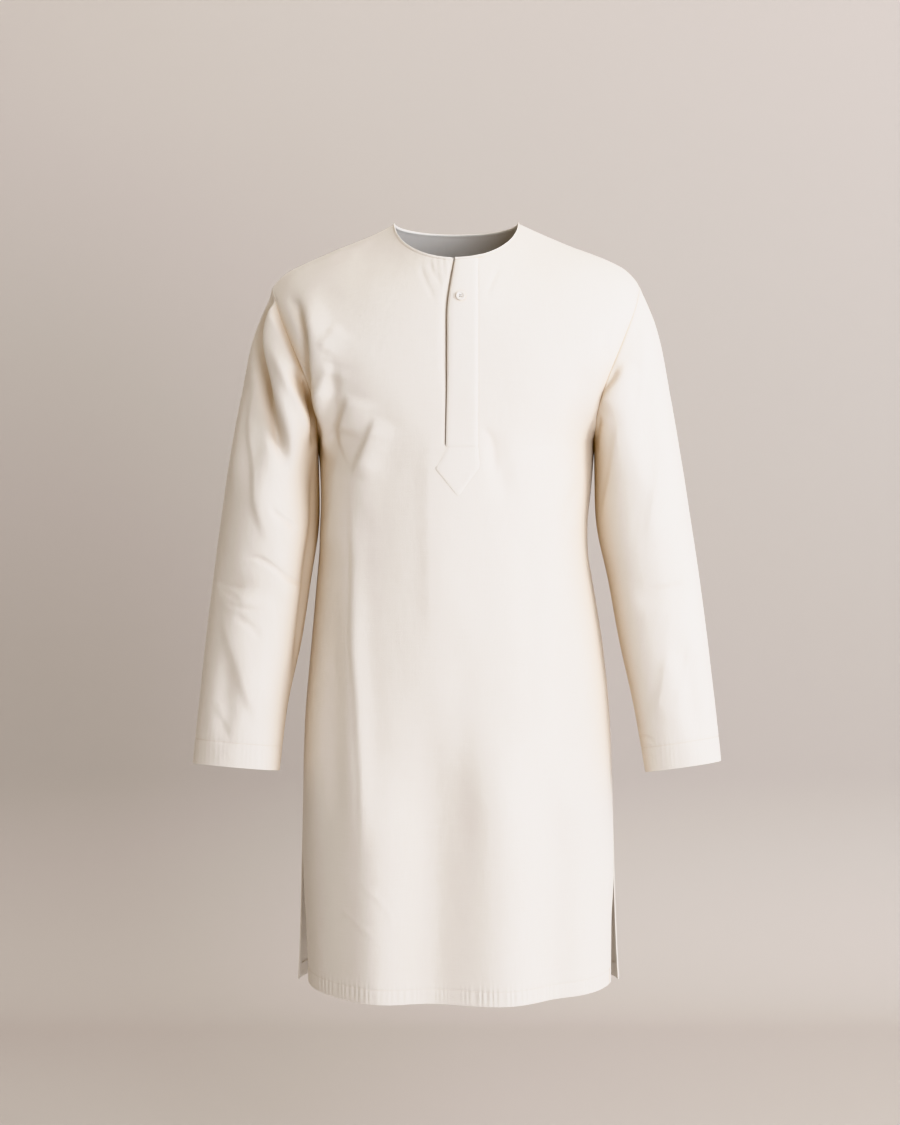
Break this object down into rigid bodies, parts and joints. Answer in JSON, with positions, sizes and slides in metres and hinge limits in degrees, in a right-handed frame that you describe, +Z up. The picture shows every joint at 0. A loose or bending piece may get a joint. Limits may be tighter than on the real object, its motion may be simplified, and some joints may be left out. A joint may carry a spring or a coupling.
{
  "type": "kurta tunic",
  "caption": "Long collarless tunic in cream cotton, hollow as worn: set-in sleeves, narrow bound round neck, half placket with a pointed end and a small button, side slits.",
  "frame": {"origin": "midway between the two side neck points, at the level where the shoulder seams meet the neck, where the wearer's shoulders hold it", "axes": "+Z up, the front faces -Y, the wearer's left is +X"},
  "size_m": [0.6506, 0.2518, 0.947],
  "materials": {
    "front_panel": "matt plain-weave cotton and linen",
    "back_panel": "matt plain-weave cotton and linen",
    "sleeve_right_upper": "matt plain-weave cotton and linen",
    "sleeve_right_lower": "matt plain-weave cotton and linen",
    "sleeve_left_upper": "matt plain-weave cotton and linen",
    "sleeve_left_lower": "matt plain-weave cotton and linen",
    "placket_overlap": "matt plain-weave cotton and linen",
    "placket_underlap": "matt plain-weave cotton and linen",
    "neck_binding": "matt plain-weave cotton and linen",
    "button": "semi-gloss, shell-like"
  },
  "bodies": {
    "root": {"front_panel": "front_panel", "back_panel": "back_panel", "sleeve_right_upper": "sleeve_right_upper", "sleeve_right_lower": "sleeve_right_lower", "sleeve_left_upper": "sleeve_left_upper", "sleeve_left_lower": "sleeve_left_lower", "placket_overlap": "placket_overlap", "placket_underlap": "placket_underlap", "neck_binding": "neck_binding", "button": "button"}
  },
  "joints": []
}
